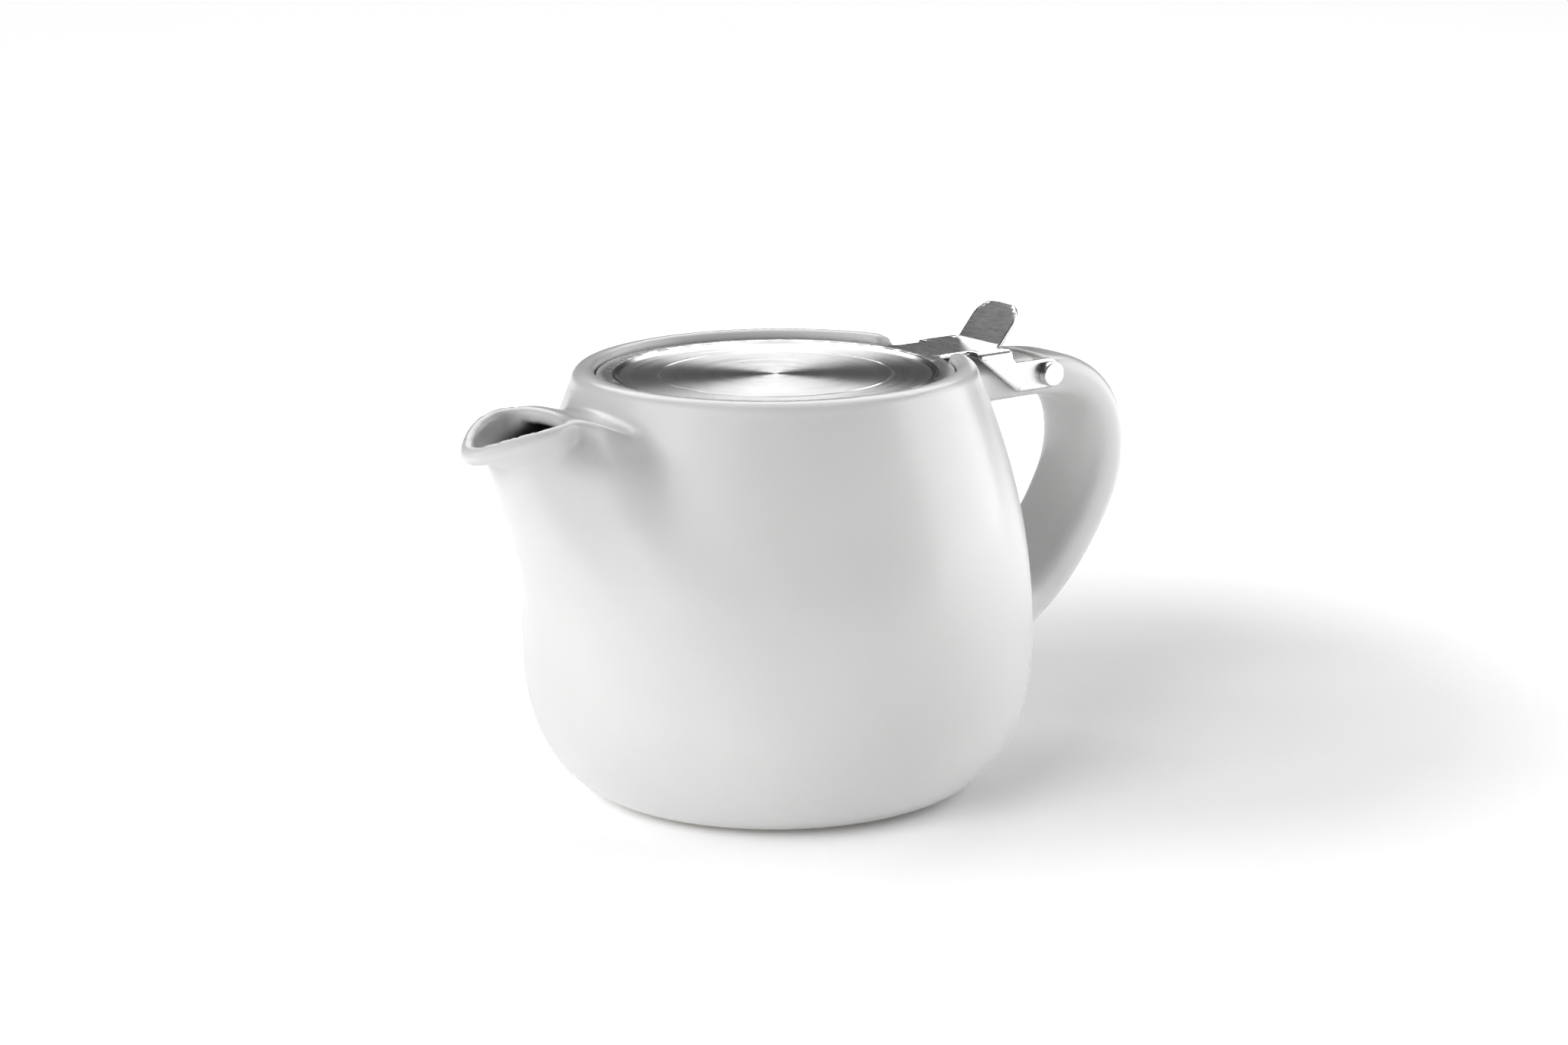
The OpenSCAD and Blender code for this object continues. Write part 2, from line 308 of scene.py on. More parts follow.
def spout_parts(P):
    x, y, z = P[:, 0], P[:, 1], P[:, 2]
    X = x - LIP_X
    s = LIP_Z + LIP_S1 * X + LIP_S2 * X * X - 0.0045 * y * y - z
    r1, al = np.interp(z, _zd, WR), np.interp(z, _zd, WA)
    xf = -56.9 - 0.412 * (z - 42.8)
    h = 16.0
    wedge = capsule(x - xf - r1, y, r1, r1 + h * np.sin(al), h)
    wedge = smax(wedge, (33.0 - z) * 0.9, 6.0)
    lip = lookup(TAB_LIP, x, y)
    t = np.clip((s - 1.3) / 7.2, 0, 1)
    b = (t * t * (3 - 2 * t)) ** 1.25
    # behind the mouth the lip runs straight into the wedge
    O = lip * (1 - b) + wedge * b
    back = np.clip((x + 62) / 8, 0, 1)
    O = np.where(back > 0, O * (1 - back) + np.minimum(O, wedge) * back, O)
    inner = np.maximum(O + 3.1, np.minimum(3.4 - s * 0.96, np.maximum(lip + 3.1, (s - 8) * 0.9)))
    return O, inner, -s * 0.96


HP = np.array([(38, 86.7, 4.7), (48, 86.7, 4.7), (58, 86.7, 4.7), (68, 86.65, 4.75), (76.8, 85.6, 4.9), (83.2, 82.4, 5.25),
               (87.4, 76.6, 6.1), (88.8, 68.8, 6.6), (87.7, 61.5, 6.8), (84.6, 54.6, 6.9), (80.0, 47.4, 6.9),
               (74.4, 40.6, 6.9), (68, 34.9, 6.8), (60, 30.0, 6.7), (50, 26, 6.5), (40, 23.5, 6.5)])
HB = np.array([10.5, 10.5, 10.5, 10.5, 10.5, 10.6, 10.8, 10.9, 10.9, 10.9, 10.9, 10.9, 11, 11.4, 12, 12.5])
HE = np.array([5.0, 5.0, 5.0, 4.4, 3.6, 3.0, 2.7, 2.6, 2.6, 2.6, 2.6, 2.6, 2.6, 2.6, 2.6, 2.6])


def catmull(p, n):
    out = []
    for i in range(1, len(p) - 2):
        for k in range(n):
            t = k / n
            a, b, c, d = p[i - 1], p[i], p[i + 1], p[i + 2]
            out.append(0.5 * (2 * b + (c - a) * t + (2 * a - 5 * b + 4 * c - d) * t * t + (3 * b - a - 3 * c + d) * t ** 3))
    return np.array(out)


HL = catmull(np.c_[HP, HB, HE], 7)


def handle_sdf(P):
    out = np.empty(len(P))
    A, B = HL[:-1], HL[1:]
    D = (B - A)[:, :2]
    L2 = (D ** 2).sum(1)
    N = np.c_[-D[:, 1], D[:, 0]] / np.sqrt(L2)[:, None]
    for c0 in range(0, len(P), 20000):
        Q = P[c0:c0 + 20000]
        q = Q[:, [0, 2]]
        R = q[:, None, :] - A[None, :, :2]
        t = np.clip((R * D).sum(2) / L2, 0, 1)
        E = R - t[..., None] * D
        d2 = (E ** 2).sum(2)
        j = d2.argmin(1)
        k = np.arange(len(Q))
        tt = t[k, j]
        n = np.sqrt(d2[k, j])
        M = A[j] * (1 - tt)[:, None] + B[j] * tt[:, None]
        a, b, p = M[:, 2], M[:, 3], M[:, 4]
        X, Y = n / a + 1e-9, np.abs(Q[:, 1]) / b + 1e-9
        g = (X ** p + Y ** p) ** (1 / p)
        G = g ** (1 - p) * np.sqrt((X ** (p - 1) / a) ** 2 + (Y ** (p - 1) / b) ** 2)
        out[c0:c0 + 20000] = (g - 1) / np.maximum(G, 1e-4)
    return out


BORE_R = 2.8


def ceramic(P):
    x, y, z = P[:, 0], P[:, 1], P[:, 2]
    r = np.hypot(x, y)
    A = lookup(TAB_OUT, r, z)
    C = lookup(TAB_IN, r, z)
    # notch in the rim for the lid's arm, with soft ends
    nb = np.maximum(np.maximum(np.abs(y) - 12.9, (LEDGE_Z - 0.25) - z), 34 - x)
    A = smax(A, -nb, 5.0)
    U = A.copy()
    h = (x > 34) & (np.abs(y) < 34) & (z > -2)
    if h.any():
        H = handle_sdf(P[h])
        k = np.where(z[h] > 70, 8.0, 16.0)
        U[h] = smin(A[h], H, k)
    cut = -C
    s = (x < -8) & (np.abs(y) < 48)
    F = U.copy()
    if s.any():
        O, I, top = spout_parts(P[s])
        lip = smax(O, top, 2.6)
        u = smin(A[s], lip, 8.5)
        near = np.clip((-x[s] - 52) / 6, 0, 1)
        u = smax(u, -I, 1.2 + 2.6 * near)
        F[s] = u
        Ct = C[s]
        F[s] = smax(F[s], -Ct, 0.6)
        F[~s] = np.maximum(U[~s], cut[~s])
    else:
        F = np.maximum(F, cut)
    # cross bore for the hinge
    b = BORE_R - np.hypot(x - PIN_X, z - PIN_Z)
    F = np.where(np.abs(y) < 16, smax(F, np.where(x > 60, b, -9), 0.5), F)
    return F


def surface_nets(fn, lo, hi, h):
    ax = [np.arange(lo[i], hi[i] + h, h) for i in range(3)]
    shape = tuple(len(a) for a in ax)
    F = np.empty(shape, np.float32)
    Y, Z = np.meshgrid(ax[1], ax[2], indexing="ij")
    flat = np.c_[Y.ravel(), Z.ravel()]
    for i, x in enumerate(ax[0]):
        F[i] = fn(np.c_[np.full(len(flat), x), flat]).reshape(shape[1:])
    neg = F < 0
    cells = [slice(0, -1), slice(1, None)]
    count = sum(neg[cells[a], cells[b], cells[c]].astype(np.int8) for a in (0, 1) for b in (0, 1) for c in (0, 1))
    active = (count > 0) & (count < 8)
    idx = np.full(active.shape, -1, np.int64)
    ijk = np.argwhere(active)
    idx[active] = np.arange(len(ijk))
    acc = np.zeros((len(ijk), 3))
    num = np.zeros(len(ijk))
    corners = [(a, b, c) for a in (0, 1) for b in (0, 1) for c in (0, 1)]
    for a in corners:
        for d in range(3):
            if a[d] == 1:
                continue
            b = list(a)
            b[d] = 1
            fa = F[ijk[:, 0] + a[0], ijk[:, 1] + a[1], ijk[:, 2] + a[2]].astype(float)
            fb = F[ijk[:, 0] + b[0], ijk[:, 1] + b[1], ijk[:, 2] + b[2]].astype(float)
            m = (fa < 0) != (fb < 0)
            t = np.where(m, fa / np.where(m, fa - fb, 1), 0)
            p = np.zeros((len(ijk), 3)) + np.array(a, float)
            p[:, d] += t
            acc[m] += p[m]
            num[m] += 1
    verts = (ijk + acc / num[:, None]) * h + np.array([a[0] for a in ax])
    faces = []
    for d in range(3):
        e, f = (d + 1) % 3, (d + 2) % 3
        n0 = np.take(neg, range(0, shape[d] - 1), axis=d)
        n1 = np.take(neg, range(1, shape[d]), axis=d)
        cross = np.argwhere(n0 != n1)
        ok = (cross[:, e] > 0) & (cross[:, f] > 0) & (cross[:, e] < shape[e] - 1) & (cross[:, f] < shape[f] - 1)
        cross = cross[ok]
        flip = n0[tuple(cross.T)]
        quad = []
        for (u, v) in ((0, 0), (-1, 0), (-1, -1), (0, -1)):
            c = cross.copy()
            c[:, e] += u
            c[:, f] += v
            quad.append(idx[tuple(c.T)])
        q = np.stack(quad, 1)
        q[~flip] = q[~flip][:, ::-1]
        faces.append(q)
    faces = np.concatenate(faces)
    return verts, faces[(faces >= 0).all(1)]


def gradient(fn, P, e=0.08):
    G = np.empty_like(P)
    for d in range(3):
        o = np.zeros(3)
        o[d] = e
        G[:, d] = (fn(P + o) - fn(P - o)) / (2 * e)
    return G


def project(fn, P, times=3):
    for _ in range(times):
        G = gradient(fn, P)
        n2 = np.maximum((G ** 2).sum(1), 0.05)
        step = fn(P)[:, None] * G / n2[:, None]
        L = np.linalg.norm(step, axis=1)
        step *= np.minimum(1, 0.8 / np.maximum(L, 1e-9))[:, None]
        P = P - step
    return P


def relax(P, faces, fn, rounds=4, w=0.5):
    e = np.concatenate([faces[:, [0, 1]], faces[:, [1, 2]], faces[:, [2, 3]], faces[:, [3, 0]]])
    e = np.concatenate([e, e[:, ::-1]])
    n = len(P)
    deg = np.bincount(e[:, 0], minlength=n)[:, None]
    for _ in range(rounds):
        S = np.stack([np.bincount(e[:, 0], weights=P[e[:, 1], d], minlength=n) for d in range(3)], 1) / deg
        G = gradient(fn, P)
        G /= np.maximum(np.linalg.norm(G, axis=1), 1e-6)[:, None]
        D = S - P
        D -= (D * G).sum(1)[:, None] * G
        P = P + w * D
        P = project(fn, P, 1)
    return P


STEP = 1.1
V, Q = surface_nets(ceramic, (-82, -60, -3), (99, 60, 99), STEP)
V = project(ceramic, V, 3)
V = relax(V, Q, ceramic, 3)
V = project(ceramic, V, 2)
pot = new_mesh("glazed_pot", V, Q)
bm = bmesh.new()
bm.from_mesh(pot.data)
bmesh.ops.recalc_face_normals(bm, faces=bm.faces)
bm.to_mesh(pot.data)
bm.free()
pot.data.polygons.foreach_set("use_smooth", [True] * len(pot.data.polygons))

# ---------------------------------------------------------------- lid plate: one stamped and bent sheet
T = 1.0                                # sheet thickness
FL_R = plate_lo[0] * -1                # flange radius
WING_X0, WING_X1 = 48.5, 58.0
EAR_Y = plate_hi[1] if plate_hi[1] < 20 else 12.0
BEND = 2.0
TAB_X, TAB_R, TAB_A, TAB_W = 56.2, 1.5, math.radians(50), 7.5
ARC = BEND * math.pi / 2
EAR_S = (EAR_Y - BEND) + ARC


def sheet_map(x, s, d):
    a, sg = abs(s), (1 if s >= 0 else -1)
    if x > TAB_X and a <= TAB_W + 0.01:
        u = x - TAB_X
        arc = TAB_R * TAB_A
        th = min(u / TAB_R, TAB_A)
        X = TAB_X + (TAB_R + d) * math.sin(th)
        Z = LID_Z + TAB_R - (TAB_R + d) * math.cos(th)
        if u > arc:
            X += (u - arc) * math.cos(TAB_A)
            Z += (u - arc) * math.sin(TAB_A)
        return X, s, Z
    if x > WING_X0 - 0.6 and a > EAR_Y - BEND:
        q = a - (EAR_Y - BEND)
        th = min(q / BEND, math.pi / 2)
        Y = EAR_Y - BEND + (BEND - d) * math.sin(th)
        Z = LID_Z - BEND + (BEND - d) * math.cos(th)
        if q > ARC:
            Z -= q - ARC
        return x, sg * Y, Z
    return x, s, LID_Z - d


def arc_pts(cx, cy, r, a0, a1, n):
    return [(cx + r * math.cos(a), cy + r * math.sin(a)) for a in np.linspace(a0, a1, n)]


def ear_s(z):
    return EAR_S + (LID_Z - BEND - z)


half = []
# along the neck, out over the wing, down the ear, round the pin and back up
fr = 2.6
cx = math.sqrt((FL_R + fr) ** 2 - (8 + fr) ** 2)
ang = math.atan2(8 + fr, cx)
half += [(FL_R * math.cos(a), FL_R * math.sin(a)) for a in np.linspace(math.pi, ang, 150)]
a_in = math.atan2(-(8 + fr), -cx)
half += arc_pts(cx, 8 + fr, fr, a_in + 2 * math.pi, 1.5 * math.pi, 8)[1:]
half += [(x, 8.0) for x in np.arange(cx + 0.6, 48.0, 0.8)]
half += [(48.2, 8.05), (48.42, 8.25), (48.5, 8.6)]
half += [(48.5, s) for s in np.arange(9.0, EAR_S - 1.6, 0.3)]
f0, f1 = (49.3, ear_s(92.5)), (59.3, ear_s(84.4))
half += [tuple(p) for p in fillet([(48.5, EAR_S - 1.9, 0), (48.75, EAR_S - 0.4, 1.5), (f0[0], f0[1], 2.0), (f1[0], f1[1], 0.8), (PIN_X - 0.5, ear_s(84.4), 0)], closed=False, seg=6)][1:]
half += [(PIN_X + 3.4 * math.cos(a), ear_s(PIN_Z + 3.4 * math.sin(a))) for a in np.linspace(-math.pi / 2, math.pi / 2, 22)]
half += [tuple(p) for p in fillet([(PIN_X - 0.8, ear_s(91.2), 0), (59.1, ear_s(91.2), 0.8), (58.0, ear_s(92.3), 0.8), (58.0, EAR_S - 1.2, 0)], closed=False, seg=6)]
half += [(58.0, s) for s in np.arange(EAR_S - 1.5, 8.8, -0.3)]
half += [(57.95, 8.45), (57.8, 8.3), (57.1, 8.3)] + arc_pts(56.6, 7.9, 0.42, math.pi * 0.45, math.pi * 1.5, 7) + [(56.95, 7.5)]
TAB_L = 11.4
half += [(x, 7.5) for x in np.arange(57.2, TAB_X + TAB_R * TAB_A + TAB_L - 5.7, 0.35)]
xe = TAB_X + TAB_R * TAB_A + TAB_L - 5.6
half += [(xe + 5.6 * math.cos(a), 7.5 * math.sin(a)) for a in np.linspace(math.pi / 2, 0, 26)]
half = np.array(half)
keep = [0]
for i in range(1, len(half)):
    if np.linalg.norm(half[i] - half[keep[-1]]) > 0.12:
        keep.append(i)
half = half[keep]
half[0] = (-FL_R, 0)
half[-1] = (xe + 5.6, 0)
outline = np.concatenate([half, half[-2:0:-1] * [1, -1]])      # closed, clockwise from the spout side


def in_poly(p, poly):
    x, y = p
    a, b = poly, np.roll(poly, -1, 0)
    c = (a[:, 1] > y) != (b[:, 1] > y)
    with np.errstate(divide="ignore", invalid="ignore"):
        xx = (b[:, 0] - a[:, 0]) * (y - a[:, 1]) / (b[:, 1] - a[:, 1]) + a[:, 0]
    return bool(np.count_nonzero(c & (x < xx)) % 2)


HOLE_R = 36.25
hole_c = np.array(arc_pts(0, 0, HOLE_R, 0, 2 * math.pi, 241)[:-1])
pins = [np.array([(PIN_X + 2.0 * math.cos(a), sg * ear_s(PIN_Z + 2.0 * math.sin(a))) for a in np.linspace(0, 2 * math.pi, 25)[:-1]]) for sg in (1, -1)]
E = 0.14
loops = [outline, hole_c] + pins
top_loops = [inset(outline, E)] + [inset(l, -E) for l in loops[1:]]
fill_pts = []
for x in np.arange(WING_X0 + 0.6, WING_X1 - 0.3, 0.9):
    for s in np.arange(EAR_Y - BEND, EAR_S + 0.2, 0.26):
        fill_pts += [(x, s), (x, -s)]
for x in np.arange(TAB_X, TAB_X + 1.5, 0.16):
    for s in np.arange(-7.0, 7.1, 1.0):
        fill_pts.append((x, s))
for x in np.arange(TAB_X + 1.6, TAB_X + 12, 0.9):
    for s in np.arange(-7.0, 7.1, 1.0):
        fill_pts.append((x, s))
for x in np.arange(41, TAB_X - 0.3, 1.2):
    for s in np.arange(-7.0, 7.1, 1.4):
        fill_pts.append((x, s))
for a in np.linspace(0, 2 * math.pi, 241)[:-1]:
    fill_pts.append((38.1 * math.cos(a), 38.1 * math.sin(a)))
for x in np.arange(52, 70, 1.2):
    for z in np.arange(84.8, 92, 0.9):
        fill_pts += [(x, ear_s(z)), (x, -ear_s(z))]
fill_pts = [p for p in fill_pts if in_poly(p, inset(outline, 0.3)) and math.hypot(*p) > HOLE_R + 0.4
            and min(abs(math.hypot(p[0] - PIN_X, p[1] - sg * ear_s(PIN_Z)) - 0) for sg in (1, -1)) > 2.4]
pts = [Vector(p) for l in top_loops for p in l]
edges, o = [], 0
for l in top_loops:
    edges += [(o + i, o + (i + 1) % len(l)) for i in range(len(l))]
    o += len(l)
pts += [Vector(p) for p in fill_pts]
cv, ce, cf, ov, oe, of_ = delaunay_2d_cdt(pts, edges, [], 0, 1e-6)
P2 = np.array([tuple(v) for v in cv])
tris = []
for f in cf:
    c = P2[list(f)].mean(0)
    if in_poly(c, top_loops[0]) and math.hypot(*c) > HOLE_R + E * 0.5 and not any(in_poly(c, l) for l in top_loops[2:]):
        tris.append(list(f))
where = {}
for i, src in enumerate(ov):
    for k in src:
        where[k] = i
n2 = len(P2)
verts = [sheet_map(x, s, 0.0) for x, s in P2] + [sheet_map(x, s, T) for x, s in P2]
faces = [tuple(f) for f in tris] + [tuple(n2 + i for i in f[::-1]) for f in tris]
o = 0
for l in loops:
    m = len(l)
    a = len(verts)
    verts += [sheet_map(x, s, E) for x, s in l]
    b = len(verts)
    verts += [sheet_map(x, s, T - E) for x, s in l]
    # two rings, just below the top face and just above the bottom, bevel the cut edge for a rounder edge
    for i in range(m):
        j = (i + 1) % m
        ti, tj = where[o + i], where[o + j]
        faces.append((ti, tj, a + j, a + i))
        faces.append((a + i, a + j, b + j, b + i))
        faces.append((b + i, b + j, n2 + tj, n2 + ti))
    o += m
plate = new_mesh("lid_stamping", verts, faces)
clean(plate, 2e-6)
UVL = plate.data.uv_layers.new(name="grain")

# joggle and seat under the flange, part of the same stamping
seat_z = plate_lo[2]
seat = lathe("lid_seat", fillet([(37.1, LID_Z - 1.02, 0.05), (37.1, disc_lo[2] - 1.0, 0.5), (33.4, disc_lo[2] - 1.0, 0.2),
                                (33.4, disc_lo[2] - 0.02, 0.2), (36.15, disc_lo[2] - 0.02, 0.1), (36.15, LID_Z - 0.35, 0.05), (37.1, LID_Z - 0.9, 0.05)]))

# spun top disc with a rolled edge and a fine ring
dz = disc_lo[2] + 0.8
disc = lathe("lid_top_disc", fillet([(0, disc_lo[2], 0), (36.08, disc_lo[2], 0.15), (36.08, LID_Z - 0.02, 0.16), (35.75, LID_Z - 0.0, 0.25), (34.75, dz, 0.9),
                                    (26.45, dz, 0.12), (26.22, dz - 0.24, 0.08), (26.0, dz - 0.24, 0.08), (25.78, dz + 0.03, 0.1), (25.3, dz, 0.3),
                                    (20, dz, 0), (12, dz, 0), (5, dz, 0), (0, dz, 0)], seg=4), seg=256)

skirt = lathe("lid_inner_skirt", fillet([(0, skirt_hi[2] - 0.6, 0), (skirt_hi[0] - 0.6, skirt_hi[2] - 0.6, 0.9), (skirt_hi[0] - 0.6, skirt_lo[2] + 0.3, 0.1),
                                        (skirt_hi[0], skirt_lo[2], 0.25), (skirt_hi[0], skirt_hi[2], 0.8), (0, skirt_hi[2], 0)], seg=5))

# pin, its cap and the bushes
HR, PR = (pin_hi[2] - pin_lo[2]) / 2, 2.0
y0, y1 = pin_lo[1], cap_hi[1]
pin = lathe("hinge_rivet", fillet([(0, y0, 0), (HR, y0, 0.28), (HR, -EAR_Y, 0.12), (PR, -EAR_Y, 0.05), (PR, pin_hi[1], 0.3), (0, pin_hi[1], 0)]), seg=64, axis="Y",
            origin=(PIN_X, 0, PIN_Z))
cap = lathe("hinge_rivet_cap", fillet([(0, y1, 0), (HR, y1, 0.28), (HR, EAR_Y, 0.12), (PR + 0.02, EAR_Y, 0.05), (PR + 0.02, pin_hi[1] + 0.02, 0.05), (0, pin_hi[1] + 0.02, 0)]), seg=64, axis="Y",
            origin=(PIN_X, 0, PIN_Z))
bushes = []
for sg, nm in ((-1, "near"), (1, "far")):
    bushes.append(lathe("hinge_bush_" + nm, fillet([(2.05, sg * 2.5, 0.1), (2.8, sg * 2.5, 0.2), (2.8, sg * 10.5, 0.05), (3.5, sg * 10.5, 0.12), (3.5, sg * 10.9, 0.12), (2.05, sg * 10.9, 0.1)]),
                        seg=64, axis="Y", origin=(PIN_X, 0, PIN_Z)))

# ---------------------------------------------------------------- strainer basket
RI = rim_hi[0]
rim = lathe("basket_collar", fillet([(37.4, 83.0, 0.3), (37.4, rim_hi[2], 0.9), (RI, rim_hi[2], 0.3), (RI, LEDGE_Z, 0.3), (38.0, LEDGE_Z, 0.6), (38.0, 82.4, 0.9),
                                    (wall_hi[0] - 0.5, 82.4, 0.1), (wall_hi[0] - 0.5, 83.0, 0.1)], seg=5))


def perforated(name, mapping, nu, nv, frac, wrap):
    """Sheet of nu by nv cells, each with a round hole, given thickness by the mapping (u, v, depth)."""
    m = 8
    sq = [(1, 0), (1, 1), (0, 1), (-1, 1), (-1, 0), (-1, -1), (0, -1), (1, -1)]
    ci = [(math.cos(math.pi * k / 4), math.sin(math.pi * k / 4)) for k in range(8)]
    verts, faces = [], []
    for j in range(nv):
        for i in range(nu):
            cu, cv = i + 0.5, j + 0.5
            b = len(verts)
            for d in (0, 1):
                for (a, c) in sq:
                    verts.append(mapping(cu + a * 0.5, cv + c * 0.5, d))
                for (a, c) in ci:
                    verts.append(mapping(cu + a * frac, cv + c * frac, d))
            for k in range(m):
                k2 = (k + 1) % m
                faces.append((b + k, b + k2, b + m + k2, b + m + k))
                faces.append((b + 2 * m + k2, b + 2 * m + k, b + 3 * m + k, b + 3 * m + k2))
                faces.append((b + m + k, b + m + k2, b + 3 * m + k2, b + 3 * m + k))
    return verts, faces


BR, BZ0, BZ1 = wall_hi[0], wall_lo[2], wall_hi[2]
NU, NV = 72, 15
band0, band1 = BZ0 + 3.5, BZ1 - 5.0


def wall_map(u, v, d):
    a = 2 * math.pi * u / NU
    r = BR - 0.5 * d
    return r * math.cos(a), r * math.sin(a), band0 + (band1 - band0) * v / NV


vs, fs = perforated("basket_sieve", wall_map, NU, NV, 0.27, True)


def ring_band(rows, seg=NU * 2):
    """Plain bands of the wall: rows of (radius, height), closed as a strip of quads."""
    b = len(vs)
    for r, z in rows:
        for k in range(seg):
            a = 2 * math.pi * k / seg
            vs.append((r * math.cos(a), r * math.sin(a), z))
    for i in range(len(rows) - 1):
        for k in range(seg):
            k2 = (k + 1) % seg
            fs.append((b + i * seg + k, b + i * seg + k2, b + (i + 1) * seg + k2, b + (i + 1) * seg + k))


ring_band([(BR, band0), (BR, BZ0 + 0.5), (BR - 0.15, BZ0 + 0.12), (BR - 0.35, BZ0 + 0.12), (BR - 0.5, BZ0 + 0.5), (BR - 0.5, band0)])
ring_band([(BR, band1), (BR, BZ1 - 0.1), (BR - 0.1, BZ1), (BR - 0.4, BZ1), (BR - 0.5, BZ1 - 0.1), (BR - 0.5, band1)])
sieve = clean(new_mesh("basket_sieve", vs, fs), 2e-6)

# base: a plain rolled border and rings of holes
vs, fs = [], []
rings = [(30.6, 60), (26.6, 52), (22.6, 44), (18.6, 36), (14.6, 28), (10.6, 20)]
for r, n in rings:
    def base_map(u, v, d, r=r, n=n):
        a = 2 * math.pi * u / n
        q = r - 2 + 4 * v
        return q * math.cos(a), q * math.sin(a), base_hi[2] - 0.6 * d
    a, b = perforated("base", base_map, n, 1, 0.29, True)
    o = len(vs)
    vs += a
    fs += [tuple(o + i for i in f) for f in b]
sieve_base = clean(new_mesh("basket_sieve_base", vs, fs), 2e-6)
hub = lathe("basket_base_hub", fillet([(0, base_lo[2], 0), (8.7, base_lo[2], 0.1), (8.7, base_hi[2], 0.1), (6.5, base_hi[2], 0.5), (5.8, base_hi[2] + 0.5, 0.5), (0, base_hi[2] + 0.5, 0)], seg=4), seg=80)
border = lathe("basket_base_border", fillet([(32.5, base_lo[2], 0.05), (BR, base_lo[2], 0.25), (BR, base_hi[2], 0.1), (32.5, base_hi[2], 0.05)], seg=3))

# ---------------------------------------------------------------- grain coordinates on the stamping
me = plate.data
co = np.empty(len(me.vertices) * 3)
me.vertices.foreach_get("co", co)
co = co.reshape(-1, 3) / MM
li = np.empty(len(me.loops), np.int32)
me.loops.foreach_get("vertex_index", li)
p = co[li]
uv = np.empty((len(li), 2))
uv[:, 0] = np.where(p[:, 0] > 46, p[:, 0] + p[:, 2] * 0.9, p[:, 0])
uv[:, 1] = np.where(np.abs(p[:, 1]) > 10.5, np.sign(p[:, 1]) * (10.5 + (LID_Z - p[:, 2])), p[:, 1])
UVL.data.foreach_set("uv", (uv * MM * 10).ravel())


# ---------------------------------------------------------------- materials
def material(name):
    m = bpy.data.materials.new(name)
    m.use_nodes = True
    nt = m.node_tree
    b = nt.nodes["Principled BSDF"]
    return m, nt, b


def add(nt, kind, **kw):
    n = nt.nodes.new(kind)
    for k, v in kw.items():
        if k in n.inputs:
            n.inputs[k].default_value = v
        else:
            setattr(n, k, v)
    return n


def ramp(nt, fac, stops):
    r = nt.nodes.new("ShaderNodeValToRGB")
    els = r.color_ramp.elements
    while len(els) < len(stops):
        els.new(0.5)
    for e, (p, c) in zip(els, stops):
        e.position = p
        e.color = (c, c, c, 1) if not isinstance(c, tuple) else (*c, 1)
    nt.links.new(fac, r.inputs["Fac"])
    return r.outputs["Color"]


def noise_tex(nt, vec, scale, detail=3.0, rough=0.5):
    n = add(nt, "ShaderNodeTexNoise")
    n.inputs["Scale"].default_value = scale
    n.inputs["Detail"].default_value = detail
    n.inputs["Roughness"].default_value = rough
    nt.links.new(vec, n.inputs["Vector"])
    return n.outputs["Fac"]


def bump(nt, height, strength, distance, normal=None):
    b = add(nt, "ShaderNodeBump")
    b.inputs["Strength"].default_value = strength
    b.inputs["Distance"].default_value = distance
    nt.links.new(height, b.inputs["Height"])
    if normal is not None:
        nt.links.new(normal, b.inputs["Normal"])
    return b.outputs["Normal"]


def math_node(nt, op, a, b=None, clamp=False):
    n = add(nt, "ShaderNodeMath", operation=op)
    n.use_clamp = clamp
    for i, v in enumerate((a, b)):
        if v is None:
            continue
        if isinstance(v, (int, float)):
            n.inputs[i].default_value = v
        else:
            nt.links.new(v, n.inputs[i])
    return n.outputs[0]


def glaze():
    m, nt, b = material("white_glaze")
    tc = add(nt, "ShaderNodeTexCoord").outputs["Object"]
    broad = noise_tex(nt, tc, 26, 2)
    peel = noise_tex(nt, tc, 420, 2)
    speck = noise_tex(nt, tc, 1500, 1)
    sep = add(nt, "ShaderNodeSeparateXYZ")
    nt.links.new(tc, sep.inputs[0])
    # bare clay where the foot ring was wiped clean of glaze
    r = add(nt, "ShaderNodeVectorMath", operation="LENGTH")
    flat = add(nt, "ShaderNodeCombineXYZ")
    nt.links.new(sep.outputs[0], flat.inputs[0])
    nt.links.new(sep.outputs[1], flat.inputs[1])
    nt.links.new(flat.outputs[0], r.inputs[0])
    wob = math_node(nt, "MULTIPLY", math_node(nt, "SUBTRACT", noise_tex(nt, tc, 180, 2), 0.5), 0.0006)
    zz = math_node(nt, "ADD", sep.outputs[2], wob)
    low = math_node(nt, "LESS_THAN", zz, 0.00055)
    out_ = math_node(nt, "GREATER_THAN", r.outputs["Value"], 0.0318)
    bare = math_node(nt, "MULTIPLY", low, out_)
    white = ramp(nt, broad, [(0.3, (0.80, 0.80, 0.798)), (0.7, (0.83, 0.83, 0.827))])
    clay = ramp(nt, peel, [(0.3, (0.62, 0.59, 0.54)), (0.7, (0.72, 0.69, 0.64))])
    mix = add(nt, "ShaderNodeMix", data_type="RGBA")
    nt.links.new(bare, mix.inputs[0])
    nt.links.new(white, mix.inputs[6])
    nt.links.new(clay, mix.inputs[7])
    nt.links.new(mix.outputs[2], b.inputs["Base Color"])
    rg = ramp(nt, broad, [(0.25, 0.30), (0.75, 0.38)])
    rr = math_node(nt, "MAXIMUM", rg, math_node(nt, "MULTIPLY", bare, 0.9))
    nt.links.new(rr, b.inputs["Roughness"])
    n1 = bump(nt, broad, 0.25, 0.0006)
    n2 = bump(nt, peel, 0.12, 0.00006, n1)
    n3 = bump(nt, speck, 0.08, 0.00003, n2)
    nt.links.new(n3, b.inputs["Normal"])
    b.inputs["IOR"].default_value = 1.5
    b.inputs["Coat Weight"].default_value = 0.3
    b.inputs["Coat Roughness"].default_value = 0.16
    return m


